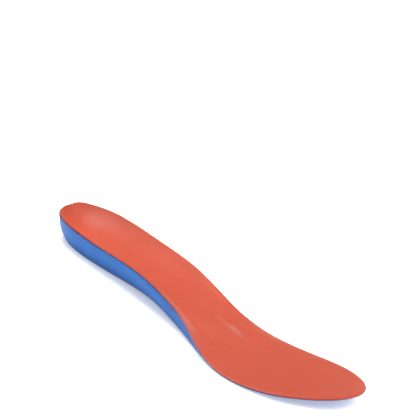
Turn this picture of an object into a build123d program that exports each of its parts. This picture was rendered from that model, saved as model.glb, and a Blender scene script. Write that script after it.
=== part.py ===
"""Full-length cushioned insole for a left foot, with a deep heel cup, a raised inner arch and a metatarsal dome.

The insole is a bonded stack. From the foot down it is a thin microfibre cover, a soft foam layer, a dome behind the
ball of the foot and a stiffener under the arch, and a moulded base that thins out under the toes. A shock pad is let
into the base under the heel, and a softer pad fills a window of the base under the ball of the foot.

Millimetres: +X runs from the heel to the toes, +Y to the outer side of the foot, +Z up. The origin is the middle of
the insole's bounding box at floor level.
"""

from build123d import *

import os

import numpy as np

# ---- Driving dimensions ----------------------------------------------------------------------------------------

# The rim of the footbed, once round from the back of the heel along the inner side: X, Y, height above the floor,
# how far the underside is drawn in below it, and how far in the wall inside it reaches before the footbed is level.
RIM = [
    (-125.0, 3.0, 18.5, 7.5, 22.0),
    (-120.0, -8.5, 17.4, 7.5, 22.0),
    (-108.0, -19.0, 16.9, 9.0, 22.0),
    (-84.5, -24.5, 16.2, 9.5, 22.0),
    (-54.5, -25.5, 16.3, 12.0, 26.0),
    (-24.5, -26.5, 17.2, 15.0, 31.0),
    (5.5, -29.0, 15.4, 11.0, 31.0),
    (31.0, -32.0, 10.6, 5.5, 30.0),
    (56.0, -38.5, 4.5, 3.0, 22.0),
    (81.0, -42.0, 1.8, 2.0, 14.0),
    (104.5, -34.0, 3.0, 2.5, 10.0),
    (119.0, -17.5, 5.6, 2.5, 10.0),
    (125.0, 2.0, 7.7, 2.0, 10.0),
    (122.0, 18.5, 8.2, 1.5, 10.0),
    (111.0, 32.5, 7.8, 1.5, 10.0),
    (93.0, 40.0, 6.6, 1.5, 10.0),
    (68.0, 41.5, 3.4, 1.5, 14.0),
    (41.0, 35.0, 2.0, 2.0, 18.0),
    (13.5, 31.5, 3.9, 3.0, 20.0),
    (-14.5, 32.5, 8.6, 4.5, 20.0),
    (-44.5, 34.5, 12.6, 6.0, 21.0),
    (-76.5, 32.5, 14.9, 7.5, 22.0),
    (-106.5, 26.0, 17.9, 8.0, 22.0),
    (-120.5, 16.0, 19.0, 7.5, 22.0),
]
RIM_SAMPLES = 576
WALL_POWER = 2.4  # how quickly the wall inside the rim flattens out into the footbed

# Thickness of the level part of the footbed: X and thickness, from the heel to the toes.
LEVEL = [(-95.0, 6.8), (-45.0, 6.8), (-15.0, 6.2), (25.0, 4.0), (60.0, 2.6), (125.0, 2.2)]

# The outer wall rounds in from the rim to the draw-in at the floor. A higher power keeps it out for longer.
ROUND_POWER = 2.0
OUTLINE_HEIGHTS = [-1.0, 1.0, 3.0, 6.0, 10.0, 14.5, 19.5]
OUTLINE_POINTS = 48

# Toe spring: ahead of a slanting line behind the ball, the sole curves up off the floor, then runs on straight.
SPRING_TURN = 24.0  # degrees that the line is turned from straight across the foot
SPRING_START = 57.0
SPRING_CURVE = 34.0
SPRING_CREST = SPRING_START + SPRING_CURVE
SPRING_SLOPE = 0.145

# The layers.
COVER_THICK = 0.8
FOAM_EDGE = 0.35
FOAM_SKIVE = 12.0  # width of the skived edge of the foam
FOAM_HEEL = 2.0
FOAM_TOE = 0.8
STIFFENER_THICK = 1.2

# The metatarsal dome, a teardrop behind the ball of the foot, with its seat in the base.
DOME_CENTRE = (28.0, -6.0)
DOME_FRONT = 24.0
DOME_BACK = 36.0
DOME_HALF_WIDTH = 17.5
DOME_RISE = 3.2
DOME_SHOULDER = 3.0  # a higher power gives a flatter top and a steeper shoulder
DOME_SEAT = 0.6

# The stiffener and the pads, in plan.
STIFFENER_OUTLINE = [(-60, -3), (-55, -13), (-36, -18), (-18, -16), (-13, -8), (-24, 2), (-50, 5)]
HEEL_PAD_CENTRE = (-84.0, 4.0)
HEEL_PAD_LENGTH = 46.0
HEEL_PAD_WIDTH = 32.0
HEEL_PAD_THICK = 1.8
BALL_PAD_CENTRE = (74.5, 1.0)
BALL_PAD_LENGTH = 38.0
BALL_PAD_WIDTH = 60.0
PAD_CORNER = 15.9

GRID_X = np.linspace(-132.0, 132.0, 67)
GRID_Y = np.linspace(-50.0, 50.0, 27)
DEEP = 60.0  # deeper than the insole is thick, for the solids that cut it
REACH = 150.0  # and past its ends


# ---- The footbed's shape ---------------------------------------------------------------------------------------


def closed_curve(rows, samples):
    """Samples of the smooth closed curve through the rows, by chord length in plan, every column at once."""
    rows = np.array(rows)
    count = len(rows)
    after = np.roll(rows, -1, 0)
    gap = np.linalg.norm((after - rows)[:, :2], axis=1)
    slope = (after - rows) / gap[:, None]
    system = np.zeros((count, count))
    for i in range(count):
        system[i, i - 1] = gap[i - 1]
        system[i, i] = 2 * (gap[i - 1] + gap[i])
        system[i, (i + 1) % count] = gap[i]
    bend = np.linalg.solve(system, 6 * (slope - np.roll(slope, 1, 0)))
    start = np.concatenate([[0], np.cumsum(gap)])
    along = np.linspace(0, start[-1], samples, endpoint=False)
    span = np.searchsorted(start, along, side="right") - 1
    u = (along - start[span])[:, None]
    h = gap[span][:, None]
    v = h - u
    first, second = bend[span], bend[(span + 1) % count]
    cubic = (first * v**3 + second * u**3) / (6 * h)
    return cubic + (rows[span] / h - first * h / 6) * v + (after[span] / h - second * h / 6) * u


RIM_CURVE = closed_curve(RIM, RIM_SAMPLES)


def nearest_rim(x, y):
    """Distance inside the rim (below 0 outside it), and the rim's height and reach at the nearest point."""
    ends = np.roll(RIM_CURVE, -1, 0)
    chord = (ends - RIM_CURVE)[:, :2]
    to_point = np.stack([x, y], -1)[..., None, :] - RIM_CURVE[:, :2]
    share = np.clip((to_point * chord).sum(-1) / (chord**2).sum(-1), 0, 1)
    miss = to_point - share[..., None] * chord
    distance = np.hypot(miss[..., 0], miss[..., 1])
    nearest = distance.argmin(-1)
    pick = lambda table: np.take_along_axis(table, nearest[..., None], -1)[..., 0]
    side = chord[nearest, 0] * pick(to_point[..., 1]) - chord[nearest, 1] * pick(to_point[..., 0])
    values = RIM_CURVE[nearest] + pick(share)[..., None] * (ends - RIM_CURVE)[nearest]
    return pick(distance) * np.sign(side), values[..., 2], values[..., 4]


def smooth_step(share):
    share = np.clip(share, 0, 1)
    return share * share * (3 - 2 * share)


def spring(x, y):
    """Height of the sole above the floor."""
    turn = np.radians(SPRING_TURN)
    ahead = np.maximum(x * np.cos(turn) + y * np.sin(turn) - SPRING_START, 0)
    curved = np.minimum(ahead, SPRING_CURVE)
    return SPRING_SLOPE * (curved**2 / (2 * SPRING_CURVE) + ahead - curved)


def level_thickness(x):
    """Thickness of the level part, eased from each station of LEVEL to the next."""
    thickness = LEVEL[0][1]
    for (x0, t0), (x1, t1) in zip(LEVEL, LEVEL[1:]):
        thickness = thickness + (t1 - t0) * smooth_step((x - x0) / (x1 - x0))
    return thickness


def dome(x, y):
    """Height that the metatarsal dome adds to the footbed."""
    dx, dy = x - DOME_CENTRE[0], y - DOME_CENTRE[1]
    r = np.hypot(dx / np.where(dx > 0, DOME_FRONT, DOME_BACK), dy / DOME_HALF_WIDTH)
    return DOME_RISE * (1 - np.minimum(r, 1) ** DOME_SHOULDER) ** 2


def footbed(x, y):
    """Height of the cover's upper surface. It carries on rising a little way outside the rim."""
    distance, rim_height, reach = nearest_rim(x, y)
    level = level_thickness(x) + spring(x, y)
    share = distance / reach
    inner = np.clip(1 - share, 0, 1) ** WALL_POWER
    outer = 1 + np.tanh(np.maximum(-share, 0) * WALL_POWER)
    return level + (rim_height - level) * np.where(share > 0, inner, outer) + dome(x, y)


def foam_thickness(x, y):
    """The foam thins towards the toes, and its edge is skived."""
    middle = FOAM_HEEL + (FOAM_TOE - FOAM_HEEL) * smooth_step((x + 40) / 100)
    return FOAM_EDGE + (middle - FOAM_EDGE) * smooth_step(nearest_rim(x, y)[0] / FOAM_SKIVE)


def below(depth):
    """A solid of everything below the footbed, once the footbed is sunk square to itself by depth(x, y)."""
    x, y = np.meshgrid(GRID_X, GRID_Y, indexing="ij")
    step = 0.5
    slope_x = (footbed(x + step, y) - footbed(x - step, y)) / (2 * step)
    slope_y = (footbed(x, y + step) - footbed(x, y - step)) / (2 * step)
    square = np.stack([-slope_x, -slope_y, np.ones_like(x)], -1)
    square = square / np.linalg.norm(square, axis=-1, keepdims=True)
    points = np.stack([x, y, footbed(x, y)], -1) - square * depth(x, y)[..., None]
    rows = [[Vector(*point) for point in row] for row in points.tolist()]
    face = Face.make_surface_from_array_of_points(rows, tol=0.02, smoothing=(1, 1, 1), min_deg=3, max_deg=8)
    return Solid.extrude(face, Vector(0, 0, -DEEP))


def outline(height):
    """The insole's outline at a height. The wall rounds in from the rim to its draw-in at the floor."""
    rim_height, draw_in = RIM_CURVE[:, 2], RIM_CURVE[:, 3]
    ahead = np.roll(RIM_CURVE, -1, 0) - np.roll(RIM_CURVE, 1, 0)
    inward = np.stack([-ahead[:, 1], ahead[:, 0]], -1) / np.hypot(ahead[:, 0], ahead[:, 1])[:, None]
    drop = np.maximum(1 - height / rim_height, 0)
    points = RIM_CURVE[:, :2] + inward * (draw_in * drop**ROUND_POWER)[:, None]
    return [tuple(point) for point in points[:: RIM_SAMPLES // OUTLINE_POINTS].tolist()]


# ---- What the layers are cut from ------------------------------------------------------------------------------

BELOW_TOP = below(lambda x, y: np.zeros_like(x))
BELOW_COVER = below(lambda x, y: np.full_like(x, COVER_THICK))
BELOW_FOAM = below(lambda x, y: COVER_THICK + foam_thickness(x, y))
BELOW_DOME = below(lambda x, y: COVER_THICK + foam_thickness(x, y) + dome(x, y) + DOME_SEAT)
BELOW_STIFFENER = below(lambda x, y: COVER_THICK + foam_thickness(x, y) + STIFFENER_THICK)


# ---- The whole stack, and what lies below the foam -------------------------------------------------------------

SOLE_PLANE = Plane.XZ.rotated((0, 0, SPRING_TURN))

with BuildPart() as stack:
    for height in OUTLINE_HEIGHTS:
        with BuildSketch(Plane.XY.offset(height)):
            with BuildLine():
                Spline(*outline(height), periodic=True)
            make_face()
    loft()
    with BuildSketch(SOLE_PLANE):
        with BuildLine():
            floor = Line((-REACH, 0), (SPRING_START, 0))
            crest = (SPRING_CREST, SPRING_SLOPE * SPRING_CURVE / 2)
            tip = (REACH, crest[1] + SPRING_SLOPE * (REACH - SPRING_CREST))
            Bezier(floor @ 1, (SPRING_START + SPRING_CURVE / 2, 0), crest)
            Polyline(crest, tip, (REACH, DEEP), (-REACH, DEEP), floor @ 0)
        make_face()
    extrude(amount=REACH, both=True, mode=Mode.INTERSECT)
    add(BELOW_TOP, mode=Mode.INTERSECT)

with BuildPart() as core:
    add(stack.part)
    add(BELOW_FOAM, mode=Mode.INTERSECT)

# ---- The layers ------------------------------------------------------------------------------------------------

with BuildPart() as top_cover:
    add(stack.part)
    add(BELOW_COVER, mode=Mode.SUBTRACT)

with BuildPart() as cushion_layer:
    add(stack.part)
    add(BELOW_COVER, mode=Mode.INTERSECT)
    add(BELOW_FOAM, mode=Mode.SUBTRACT)

with BuildPart() as metatarsal_dome:
    with BuildSketch():
        with BuildLine():
            EllipticalCenterArc(DOME_CENTRE, DOME_FRONT, DOME_HALF_WIDTH, -90, arc_size=180)
            EllipticalCenterArc(DOME_CENTRE, DOME_BACK, DOME_HALF_WIDTH, 90, arc_size=180)
        make_face()
    extrude(amount=DEEP)
    add(core.part, mode=Mode.INTERSECT)
    add(BELOW_DOME, mode=Mode.SUBTRACT)

with BuildPart() as arch_stiffener:
    with BuildSketch():
        with BuildLine():
            Spline(*STIFFENER_OUTLINE, periodic=True)
        make_face()
    extrude(amount=DEEP)
    add(core.part, mode=Mode.INTERSECT)
    add(BELOW_STIFFENER, mode=Mode.SUBTRACT)

with BuildPart() as heel_pad:
    with BuildSketch(Plane.XY):
        with Locations(HEEL_PAD_CENTRE):
            RectangleRounded(HEEL_PAD_LENGTH, HEEL_PAD_WIDTH, PAD_CORNER)
    extrude(amount=HEEL_PAD_THICK)

with BuildPart() as ball_pad:
    with BuildSketch(Plane.XY):
        with Locations(Location(BALL_PAD_CENTRE, SPRING_TURN)):
            RectangleRounded(BALL_PAD_LENGTH, BALL_PAD_WIDTH, PAD_CORNER)
    extrude(amount=DEEP)
    add(core.part, mode=Mode.INTERSECT)

with BuildPart() as base:
    add(core.part)
    add(metatarsal_dome.part, mode=Mode.SUBTRACT)
    add(arch_stiffener.part, mode=Mode.SUBTRACT)
    add(heel_pad.part, mode=Mode.SUBTRACT)
    add(ball_pad.part, mode=Mode.SUBTRACT)

# ---- Files -----------------------------------------------------------------------------------------------------

PIECES = {
    "top_cover": top_cover,
    "cushion_layer": cushion_layer,
    "metatarsal_dome": metatarsal_dome,
    "arch_stiffener": arch_stiffener,
    "heel_pad": heel_pad,
    "ball_pad": ball_pad,
    "base": base,
}

os.makedirs("parts", exist_ok=True)
for label, piece in PIECES.items():
    piece.part.label = label
    export_step(piece.part, f"parts/{label}.step")
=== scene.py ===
"""Looks of a cushioned insole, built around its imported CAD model.

Every layer is rebuilt as a fine closed mesh whose shape is read from its CAD node by casting rays, with the
rounded and trimmed edges that cut foam and microfibre have. The stiffener is hidden in the stack and keeps
its CAD solid. Metres, in the CAD model's frame: +X to the toes, +Y to the outer side of the foot, +Z up.
"""

import math

import bmesh
import bpy
import numpy as np
from mathutils import Euler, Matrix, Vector, kdtree
from mathutils.bvhtree import BVHTree


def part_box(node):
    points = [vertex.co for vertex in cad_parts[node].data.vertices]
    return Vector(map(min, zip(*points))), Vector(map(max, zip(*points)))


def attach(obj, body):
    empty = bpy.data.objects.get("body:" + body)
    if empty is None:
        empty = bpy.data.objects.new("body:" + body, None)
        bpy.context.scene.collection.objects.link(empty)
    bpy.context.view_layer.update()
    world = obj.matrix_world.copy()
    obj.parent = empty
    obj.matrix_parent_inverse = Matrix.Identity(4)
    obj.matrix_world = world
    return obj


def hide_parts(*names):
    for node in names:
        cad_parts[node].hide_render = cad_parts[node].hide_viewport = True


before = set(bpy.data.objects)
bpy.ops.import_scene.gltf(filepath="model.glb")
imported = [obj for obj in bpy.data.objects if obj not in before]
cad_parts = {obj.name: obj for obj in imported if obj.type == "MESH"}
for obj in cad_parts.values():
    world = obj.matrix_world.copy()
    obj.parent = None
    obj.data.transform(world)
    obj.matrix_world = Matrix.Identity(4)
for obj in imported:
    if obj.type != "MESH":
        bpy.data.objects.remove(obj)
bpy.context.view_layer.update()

MM = 0.001

# ---- The camera, at the photograph's angle -------------------------------------------------------

CAMERA_AZIMUTH = 46.6  # degrees; 0 looks along +Y and 90 along -X
CAMERA_ELEVATION = 14.2
CAMERA_ROLL = 15.86
CAMERA_DISTANCE = 1141.8 * MM
CAMERA_AIM = Vector((-152.6, 139.8, 8.0)) * MM  # past the heel, which puts the insole low in the frame
CAMERA_LENS = 145.2

# ---- Sizes ---------------------------------------------------------------------------------------

# Mesh rows and columns, along X and across it.
STACK_MESH = (250, 80)
INLAY_MESH = (90, 60)
POCKET_MESH = (70, 50)

# Radii of the rounded edges.
COVER_EDGE = 0.5 * MM
COVER_LOWER_EDGE = 0.12 * MM
FOAM_EDGE = 0.25 * MM
BASE_TOP_EDGE = 0.3 * MM
BASE_FOOT_EDGE = 1.2 * MM
HEEL_PAD_EDGE = 0.4 * MM
BALL_PAD_EDGE = 0.25 * MM
DOME_EDGE = 0.2 * MM
CREASE = 60  # degrees; a sharper edge than this isn't smoothed

# How far the cut edges lie back from the cover's. Under the toes, where only the cover shows, they lie
# further back, and round the heel the foam stands out instead, so its dark edge shows as a line of painted
# shade.
FOAM_SETBACK = 0.16 * MM
BASE_SETBACK = 0.04 * MM
TOE_FOAM_SETBACK = 0.4 * MM
TOE_BASE_SETBACK = 0.8 * MM
TOE_START = 0.0  # X where that begins
TOE_FADE = 45 * MM
HEEL_FOAM_SETBACK = -0.3 * MM
SETBACK_WIDTH = 4 * MM  # width of the strip inside the border that is drawn back

# The cover is pared thinner at the heel's edge, where the foam shows as a dark line: partly the foam's own
# edge, partly painted shade for the groove between cover and base.
SKIVE = 0.5 * MM
SKIVE_WIDTH = 3 * MM
SKIVE_FRONT = -40 * MM  # X where the paring ends
SKIVE_FADE = 40 * MM

# A soft bead inside the outer rim of the midfoot.
BEAD_RISE = 0.6 * MM
BEAD_WIDTH = 5 * MM
BEAD_BACK = -62 * MM  # X where it begins
BEAD_FRONT = 18 * MM  # and ends
BEAD_FADE = 24 * MM

# The pads' pockets in the base.
PAD_GAP = 0.2 * MM  # between a pad and the walls round it
HEEL_PAD_ROOM = 0.05 * MM  # above the heel pad
THROUGH = 3 * MM  # above the ball pad, which takes the cut right through the base
BELOW = 1 * MM  # how far the cut starts below the floor

# Reading the CAD nodes with rays.
RAY_START = 0.1  # height that the rays start from, above or below the floor
EDGE_INSET = 0.06 * MM  # a point on the border is read this far inside it
FURTHER_INSET = 0.2 * MM  # and this much further, where that misses
SPAN_STEPS = 64  # places across the insole that are tried in the search for its sides
HALVINGS = 16  # of the step between two of them, which finds a side exactly
SMOOTHING = 3  # passes that even out ray noise
LEAST_WALL = 0.02 * MM  # what the rounded edges leave of a cut edge where a layer is thick enough

# Colours and textures of the soft materials.
GRAIN_IN_TONE = 0.35  # how much the grain mottles the colour, against the patches
TONE_RANGE = (0.45, 0.9)  # what turns fully dark and fully light
ROUGHNESS_SPREAD = 0.06

# The floor and the surroundings.
FLOOR_HALF = 6.0
FLOOR_DROP = 0.02 * MM  # keeps the floor and the underside out of one plane
FLOOR_GLOW = 0.4  # like a light table, which keeps the shadow faint
HORIZON_LIGHT = 0.08
OVERHEAD_LIGHT = 1.4
HORIZON_TOP = 0.3  # Z of a direction below which the horizon's light stays
OVERHEAD_FROM = 0.8  # and above which the overhead light is full


def tree_of(*nodes):
    """One ray target for several CAD nodes."""
    points, faces = [], []
    for node in nodes:
        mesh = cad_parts[node].data
        first = len(points)
        points += [vertex.co.copy() for vertex in mesh.vertices]
        faces += [[first + index for index in polygon.vertices] for polygon in mesh.polygons]
    return BVHTree.FromPolygons(points, faces)


def height(tree, x, y, down):
    """Height where a ray straight down, or straight up, meets the tree, or None."""
    start = Vector((x, y, RAY_START if down else -RAY_START))
    hit = tree.ray_cast(start, Vector((0, 0, -1 if down else 1)))[0]
    return None if hit is None else hit.z


def spaced(count):
    """count values from -1 to 1, close together at both ends."""
    return [-math.cos(math.pi * (i + 0.5) / count) for i in range(count)]


def span_across(tree, x, low, high):
    """The lowest and highest Y at which the tree's shape is found at X."""
    step = (high - low) / SPAN_STEPS
    places = [low + step * (i + 0.5) for i in range(SPAN_STEPS)]
    inside = [y for y in places if height(tree, x, y, True) is not None]
    if not inside:
        return None
    ends = []
    for good, bad in ((inside[0], inside[0] - step), (inside[-1], inside[-1] + step)):
        for _ in range(HALVINGS):
            middle = (good + bad) / 2
            if height(tree, x, middle, True) is None:
                bad = middle
            else:
                good = middle
        ends.append(good)
    return ends


def plan_grid(node, rows, columns):
    """Points that fill a node's outline seen from above, in rows across it, closest together at its edge."""
    tree = tree_of(node)
    low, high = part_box(node)
    grid = []
    for along in spaced(rows):
        x = (low.x + high.x) / 2 + along * (high.x - low.x) / 2
        ends = span_across(tree, x, low.y - MM, high.y + MM)
        if ends:
            middle, half = (ends[0] + ends[1]) / 2, (ends[1] - ends[0]) / 2
            grid.append([(x, middle + across * half) for across in spaced(columns)])
    return np.array(grid)


def outline_of(grid):
    """Indices of the grid's border, once round anticlockwise."""
    rows, columns = grid.shape[:2]
    inner_side = [(r, 0) for r in range(rows)]
    toes = [(rows - 1, c) for c in range(1, columns - 1)]
    outer_side = [(r, columns - 1) for r in range(rows - 1, -1, -1)]
    heel = [(0, c) for c in range(columns - 2, 0, -1)]
    return inner_side + toes + outer_side + heel


def edge_distance(grid):
    """Each grid point's distance from the border, and the border's outward direction where it is nearest."""
    border = np.array([grid[r, c] for r, c in outline_of(grid)])
    nearby = kdtree.KDTree(len(border))
    for i, (x, y) in enumerate(border):
        nearby.insert((x, y, 0), i)
    nearby.balance()
    ahead = np.roll(border, -1, 0) - np.roll(border, 1, 0)
    outward = np.stack([ahead[:, 1], -ahead[:, 0]], -1)
    outward = outward / np.linalg.norm(outward, axis=1)[:, None]
    distance = np.zeros(grid.shape[:2])
    direction = np.zeros(grid.shape)
    for r in range(grid.shape[0]):
        for c in range(grid.shape[1]):
            point = grid[r, c]
            i = nearby.find((point[0], point[1], 0))[1]
            distance[r, c] = max(0.0, float((border[i] - point) @ outward[i]))
            direction[r, c] = outward[i]
    return distance, direction


def rounding(distance, radius):
    """How far a rounded edge falls away at a distance inside the border."""
    inner = np.clip(radius - distance, 0, radius)
    return radius - np.sqrt(radius**2 - inner**2)


def eased(value):
    """0 to 1 with soft ends."""
    value = np.clip(value, 0, 1)
    return value * value * (3 - 2 * value)


def bead(grid, distance):
    """Height of the bead inside the outer rim of the midfoot."""
    back = eased((grid[..., 0] - BEAD_BACK) / BEAD_FADE)
    front = eased((BEAD_FRONT - grid[..., 0]) / BEAD_FADE)
    strength = np.where(grid[..., 1] > 0, back * front, 0)
    across = np.clip(distance / BEAD_WIDTH, 0, 1)
    return BEAD_RISE * strength * 4 * across * (1 - across)


def smooth_heights(heights, passes):
    """Evens out a height field without moving its border."""
    for _ in range(passes):
        middle = heights[1:-1, 1:-1]
        around = heights[:-2, 1:-1] + heights[2:, 1:-1] + heights[1:-1, :-2] + heights[1:-1, 2:]
        heights = heights.copy()
        heights[1:-1, 1:-1] = middle / 2 + around / 8
    return heights


def sample(tree, grid, distance, direction, down):
    """Heights over the grid. A point on the border is read from just inside it."""
    rows, columns = grid.shape[:2]
    heights = np.full((rows, columns), np.nan)
    for r in range(rows):
        for c in range(columns):
            place = grid[r, c] - direction[r, c] * max(0.0, EDGE_INSET - distance[r, c])
            found = height(tree, *place, down)
            if found is None:
                found = height(tree, *(place - direction[r, c] * FURTHER_INSET), down)
            if found is not None:
                heights[r, c] = found
    for r, c in np.argwhere(np.isnan(heights)):
        good = np.where(~np.isnan(heights[r]))[0]
        heights[r, c] = heights[r, good[np.abs(good - c).argmin()]] if len(good) else 0.0
    return heights


def closed_mesh(name, grid, top, bottom):
    """A closed mesh between two height fields on one grid."""
    rows, columns = grid.shape[:2]
    upper = np.concatenate([grid, top[..., None]], -1).reshape(-1, 3)
    lower = np.concatenate([grid, bottom[..., None]], -1).reshape(-1, 3)
    count = rows * columns
    faces = []
    for r in range(rows - 1):
        for c in range(columns - 1):
            a, b = r * columns + c, (r + 1) * columns + c
            faces.append((a, b, b + 1, a + 1))
            faces.append((count + a, count + a + 1, count + b + 1, count + b))
    border = [r * columns + c for r, c in outline_of(grid)]
    for a, b in zip(border, border[1:] + border[:1]):
        faces.append((b, a, count + a, count + b))
    mesh = bpy.data.meshes.new(name)
    mesh.from_pydata(np.concatenate([upper, lower]).tolist(), [], faces)
    mesh.validate()
    piece = bpy.data.objects.new(name, mesh)
    bpy.context.scene.collection.objects.link(piece)
    return piece


def finish_shading(piece):
    """Smooth shading, with creases kept."""
    mesh = piece.data
    shape = bmesh.new()
    shape.from_mesh(mesh)
    bmesh.ops.recalc_face_normals(shape, faces=shape.faces)
    shape.to_mesh(mesh)
    shape.free()
    mesh.shade_smooth()
    mesh.set_sharp_from_angle(angle=math.radians(CREASE))


def layer(name, grid, distance, direction, node, edge_top, edge_bottom, setback, under=None, lift=(0, 0)):
    """A closed piece over a grid, as thick as its CAD node, with rounded edges.

    direction is the border's outward direction. under names the nodes whose underside is the piece's own,
    where that isn't the node itself. lift raises the top and the bottom.
    """
    tree = tree_of(node)
    top = sample(tree, grid, distance, direction, True)
    bottom = sample(tree_of(*under) if under else tree, grid, distance, direction, False)
    top = smooth_heights(top, SMOOTHING) + lift[0]
    bottom = smooth_heights(bottom, SMOOTHING) + lift[1]
    fit = np.clip((top - bottom) / (edge_top + edge_bottom + LEAST_WALL), 0, 1)
    top = top - rounding(distance, edge_top) * fit
    bottom = bottom + rounding(distance, edge_bottom) * fit
    back = setback * np.clip(1 - distance / SETBACK_WIDTH, 0, 1)
    return closed_mesh(name, grid - direction * back[..., None], top, bottom)


# ---- Materials -----------------------------------------------------------------------------------


def node_tree(name):
    """A new material's nodes, its shader, and a function that adds a linked node."""
    material = bpy.data.materials.new(name)
    material.use_nodes = True
    nodes, links = material.node_tree.nodes, material.node_tree.links
    shader = nodes["Principled BSDF"]

    def add(kind, values=(), **inputs):
        made = nodes.new(kind)
        for key, value in dict(values).items():
            setattr(made, key, value)
        for key, value in inputs.items():
            socket = made.inputs[key.replace("_", " ")]
            if isinstance(value, bpy.types.NodeSocket):
                links.new(value, socket)
            else:
                socket.default_value = value
        return made

    return material, shader, links, add


def colour(red, green, blue):
    """Linear colour of an sRGB one given from 0 to 255."""
    parts = [part / 255 for part in (red, green, blue)]
    return [*[p / 12.92 if p <= 0.04045 else ((p + 0.055) / 1.055) ** 2.4 for p in parts], 1]


def soft_material(name, dark, light, roughness, patches_mm, grain_mm, cells_mm, specular=0.5):
    """Mottled colour over a fine grain and small cells, for foam and microfibre.

    grain_mm and cells_mm are each a size and a depth.
    """
    material, shader, links, add = node_tree(name)
    place = add("ShaderNodeTexCoord").outputs["Object"]
    sizes = (patches_mm, grain_mm[0], cells_mm[0])
    scales = [1 / (size * MM) for size in sizes]
    patches = add("ShaderNodeTexNoise", Vector=place, Scale=scales[0], Detail=4.0, Roughness=0.6)
    grain = add("ShaderNodeTexNoise", Vector=place, Scale=scales[1], Detail=3.0, Roughness=0.65)
    cells = add("ShaderNodeTexVoronoi", Vector=place, Scale=scales[2])
    tone = add("ShaderNodeMath", {"operation": "MULTIPLY_ADD"})
    links.new(grain.outputs["Fac"], tone.inputs[0])
    tone.inputs[1].default_value = GRAIN_IN_TONE
    links.new(patches.outputs["Fac"], tone.inputs[2])
    ramp = add("ShaderNodeValToRGB", Fac=tone.outputs[0])
    ramp.color_ramp.elements[0].position = TONE_RANGE[0]
    ramp.color_ramp.elements[1].position = TONE_RANGE[1]
    ramp.color_ramp.elements[0].color = dark
    ramp.color_ramp.elements[1].color = light
    links.new(ramp.outputs["Color"], shader.inputs["Base Color"])
    rough = add("ShaderNodeMapRange", Value=grain.outputs["Fac"])
    rough.inputs["To Min"].default_value = roughness - ROUGHNESS_SPREAD
    rough.inputs["To Max"].default_value = roughness + ROUGHNESS_SPREAD
    links.new(rough.outputs["Result"], shader.inputs["Roughness"])
    pits = add("ShaderNodeBump", Height=cells.outputs["Distance"], Strength=0.5, Distance=cells_mm[1] * MM)
    bump = add("ShaderNodeBump", Height=grain.outputs["Fac"], Strength=0.6, Distance=grain_mm[1] * MM)
    links.new(pits.outputs["Normal"], bump.inputs["Normal"])
    links.new(bump.outputs["Normal"], shader.inputs["Normal"])
    shader.inputs["Specular IOR Level"].default_value = specular
    return material, shader


def cover_material():
    material, shader = soft_material(
        "coral_microfibre",
        dark=colour(146, 54, 33),
        light=colour(152, 58, 37),
        roughness=0.4,
        patches_mm=14,
        grain_mm=(0.35, 0.03),
        cells_mm=(0.5, 0.02),
        specular=0.15,
    )
    shader.inputs["Sheen Weight"].default_value = 0.03
    shader.inputs["Sheen Roughness"].default_value = 0.45
    shader.inputs["Sheen Tint"].default_value = (1.0, 0.75, 0.7, 1)
    return material


def base_material():
    return soft_material(
        "blue_eva",
        dark=colour(5, 73, 139),
        light=colour(11, 84, 149),
        roughness=0.52,
        patches_mm=9,
        grain_mm=(0.4, 0.03),
        cells_mm=(0.55, 0.05),
        specular=0.15,
    )[0]


# The foam's dark navy is partly its own colour and partly painted shade: its edge, bared round the heel,
# stands for the groove's shadow.
def foam_and_edge_shade_material():
    return soft_material(
        "navy_foam_and_edge_shade",
        dark=colour(36, 40, 92),
        light=colour(48, 54, 112),
        roughness=0.8,
        patches_mm=5,
        grain_mm=(0.3, 0.04),
        cells_mm=(0.4, 0.08),
    )[0]


def pad_material():
    return soft_material(
        "coral_pad_foam",
        dark=colour(206, 84, 62),
        light=colour(222, 104, 80),
        roughness=0.65,
        patches_mm=8,
        grain_mm=(0.4, 0.04),
        cells_mm=(0.7, 0.1),
    )[0]


def dome_material():
    return soft_material(
        "dome_foam",
        dark=colour(70, 110, 170),
        light=colour(92, 132, 190),
        roughness=0.7,
        patches_mm=8,
        grain_mm=(0.4, 0.04),
        cells_mm=(0.6, 0.08),
    )[0]


def stiffener_material():
    return soft_material(
        "nylon_stiffener",
        dark=colour(214, 214, 206),
        light=colour(226, 226, 220),
        roughness=0.4,
        patches_mm=12,
        grain_mm=(0.5, 0.02),
        cells_mm=(1.2, 0.01),
    )[0]


def dress(piece, material, slot, *nodes):
    """Gives a piece its material, and puts it in the place of its CAD nodes. slot is not used."""
    piece.data.materials.clear()
    piece.data.materials.append(material)
    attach(piece, "root")
    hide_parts(*nodes)


# ---- The stack -----------------------------------------------------------------------------------

# The cover's outline seen from above, which the foam and the base share, and how far each place in it is from
# the border. TOE and HEEL run from 0 in the middle of the insole to 1 at its ends.
PLAN = plan_grid("top_cover", *STACK_MESH)
DISTANCE, DIRECTION = edge_distance(PLAN)
OUTLINE = (PLAN, DISTANCE, DIRECTION)
TOE = eased((PLAN[..., 0] - TOE_START) / TOE_FADE)
HEEL = eased((SKIVE_FRONT - PLAN[..., 0]) / SKIVE_FADE)
PARED = SKIVE * HEEL * np.clip(1 - DISTANCE / SKIVE_WIDTH, 0, 1)
BEAD = bead(PLAN, DISTANCE)
UNDERSIDE = ("base", "heel_pad", "ball_pad")


def setback(usual, at_toe, at_heel):
    """A setback that differs under the toes and round the heel."""
    return usual + (at_toe - usual) * TOE + (at_heel - usual) * HEEL


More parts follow.
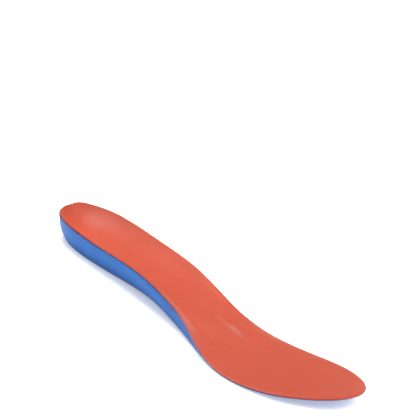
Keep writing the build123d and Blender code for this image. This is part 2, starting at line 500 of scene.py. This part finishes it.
cover = layer(
    "insole_cover", *OUTLINE, "top_cover", COVER_EDGE, COVER_LOWER_EDGE, 0.0, lift=(BEAD, BEAD + PARED)
)
FOAM_BACK = setback(FOAM_SETBACK, TOE_FOAM_SETBACK, HEEL_FOAM_SETBACK)
foam = layer(
    "insole_cushion", *OUTLINE, "cushion_layer", FOAM_EDGE, FOAM_EDGE, FOAM_BACK, lift=(BEAD + PARED, 0)
)
BASE_BACK = setback(BASE_SETBACK, TOE_BASE_SETBACK, BASE_SETBACK)
base = layer(
    "insole_base", *OUTLINE, "base", BASE_TOP_EDGE, BASE_FOOT_EDGE, BASE_BACK, UNDERSIDE
)


def pocket_tool(node, above):
    """The shape of the hollow a pad sits in, open below, to a height above the pad's own top."""
    grid = plan_grid(node, *POCKET_MESH)
    distance, direction = edge_distance(grid)
    top = sample(tree_of(node), grid, distance, direction, True) + above
    grown = grid + direction * PAD_GAP * np.clip(1 - distance / MM, 0, 1)[..., None]
    return closed_mesh("pocket_tool", grown, top, np.full(top.shape, -BELOW))


def cut_pockets(piece, *tools):
    """Cuts the tools out of a piece and throws them away."""
    joined = bmesh.new()
    for tool in tools:
        joined.from_mesh(tool.data)
    joined.to_mesh(tools[0].data)
    joined.free()
    cut = piece.modifiers.new("pocket", "BOOLEAN")
    cut.operation = "DIFFERENCE"
    cut.solver = "MANIFOLD"
    cut.object = tools[0]
    bpy.context.view_layer.update()
    cut_piece = piece.evaluated_get(bpy.context.evaluated_depsgraph_get())
    hollowed = bpy.data.meshes.new_from_object(cut_piece)
    piece.modifiers.clear()
    piece.data = hollowed
    for tool in tools:
        bpy.data.objects.remove(tool)


cut_pockets(base, pocket_tool("ball_pad", THROUGH), pocket_tool("heel_pad", HEEL_PAD_ROOM))
for piece in (cover, foam, base):
    finish_shading(piece)

dress(cover, cover_material(), "cover", "top_cover")
dress(foam, foam_and_edge_shade_material(), "cushion_foam", "cushion_layer")
dress(base, base_material(), "base_foam", "base")


def inlay(name, node, edge):
    """A pad or dome set into the stack, with rounded edges."""
    grid = plan_grid(node, *INLAY_MESH)
    distance, direction = edge_distance(grid)
    piece = layer(name, grid, distance, direction, node, edge, edge, 0.0)
    finish_shading(piece)
    return piece


PAD_MATERIAL = pad_material()
heel_pad = inlay("heel_shock_pad", "heel_pad", HEEL_PAD_EDGE)
dress(heel_pad, PAD_MATERIAL, "pad_foam", "heel_pad")
ball_pad = inlay("ball_shock_pad", "ball_pad", BALL_PAD_EDGE)
dress(ball_pad, PAD_MATERIAL, "pad_foam", "ball_pad")
dome = inlay("metatarsal_dome_core", "metatarsal_dome", DOME_EDGE)
dress(dome, dome_material(), "dome_foam", "metatarsal_dome")

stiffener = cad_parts["arch_stiffener"]
stiffener.data.materials.clear()
stiffener.data.materials.append(stiffener_material())

# ---- The room ------------------------------------------------------------------------------------


def stage_floor():
    """A white floor under the insole, out to the horizon."""
    mesh = bpy.data.meshes.new("studio_floor")
    corners = [(-1, -1), (1, -1), (1, 1), (-1, 1)]
    mesh.from_pydata([(x * FLOOR_HALF, y * FLOOR_HALF, -FLOOR_DROP) for x, y in corners], [], [(0, 1, 2, 3)])
    floor = bpy.data.objects.new("studio_floor", mesh)
    bpy.context.scene.collection.objects.link(floor)
    material, shader, links, add = node_tree("pale_floor")
    shader.inputs["Base Color"].default_value = (0.96, 0.96, 0.96, 1)
    shader.inputs["Emission Color"].default_value = (1, 1, 1, 1)
    shader.inputs["Emission Strength"].default_value = FLOOR_GLOW
    shader.inputs["Roughness"].default_value = 0.9
    shader.inputs["Specular IOR Level"].default_value = 0.1
    mesh.materials.append(material)


def direction_to(azimuth, elevation):
    """Unit vector towards a viewer or a light. Azimuth 0 is on the -Y side and 90 on the +X side."""
    a, e = math.radians(azimuth), math.radians(elevation)
    return Vector((math.sin(a) * math.cos(e), -math.cos(a) * math.cos(e), math.sin(e)))


def area_light(name, azimuth, elevation, distance, size, power):
    """A square soft light that shines at the middle of the insole."""
    back = direction_to(azimuth, elevation)
    lamp = bpy.data.lights.new(name, "AREA")
    lamp.size = size
    lamp.energy = power
    lamp_object = bpy.data.objects.new(name, lamp)
    lamp_object.location = back * distance
    lamp_object.rotation_mode = "QUATERNION"
    lamp_object.rotation_quaternion = (-back).to_track_quat("-Z", "Y")
    lamp_object.visible_camera = False
    bpy.context.scene.collection.objects.link(lamp_object)


def camera():
    """The camera, turned to the photograph's angle."""
    back = direction_to(CAMERA_AZIMUTH, CAMERA_ELEVATION)
    data = bpy.data.cameras.new("camera")
    data.lens = CAMERA_LENS
    data.sensor_width = 36
    data.clip_start = 0.01
    seen_from = bpy.data.objects.new("camera", data)
    seen_from.location = CAMERA_AIM + back * CAMERA_DISTANCE
    level = (-back).to_track_quat("-Z", "Y")
    seen_from.rotation_mode = "QUATERNION"
    seen_from.rotation_quaternion = level @ Euler((0, 0, math.radians(CAMERA_ROLL))).to_quaternion()
    bpy.context.scene.collection.objects.link(seen_from)
    bpy.context.scene.camera = seen_from


def studio_world():
    """White surroundings, brighter overhead than at the horizon."""
    world = bpy.data.worlds.new("studio")
    world.use_nodes = True
    nodes, links = world.node_tree.nodes, world.node_tree.links
    split = nodes.new("ShaderNodeSeparateXYZ")
    fade = nodes.new("ShaderNodeMapRange")
    fade.inputs["From Min"].default_value = HORIZON_TOP
    fade.inputs["From Max"].default_value = OVERHEAD_FROM
    fade.inputs["To Min"].default_value = HORIZON_LIGHT
    fade.inputs["To Max"].default_value = OVERHEAD_LIGHT
    links.new(nodes.new("ShaderNodeTexCoord").outputs["Generated"], split.inputs[0])
    links.new(split.outputs["Z"], fade.inputs["Value"])
    links.new(fade.outputs["Result"], nodes["Background"].inputs["Strength"])
    nodes["Background"].inputs["Color"].default_value = (1, 1, 1, 1)
    return world


stage_floor()
camera()
area_light("key_softbox", azimuth=-75, elevation=74, distance=0.44, size=0.3, power=2.8)
area_light("back_strip", azimuth=214, elevation=7, distance=1.3, size=0.2, power=0.3)
area_light("front_softbox", azimuth=60, elevation=42, distance=1.8, size=1.6, power=7)
area_light("toe_fill", azimuth=150, elevation=45, distance=1.2, size=0.8, power=5)
bpy.context.scene.world = studio_world()
bpy.context.scene.view_settings.view_transform = "Standard"
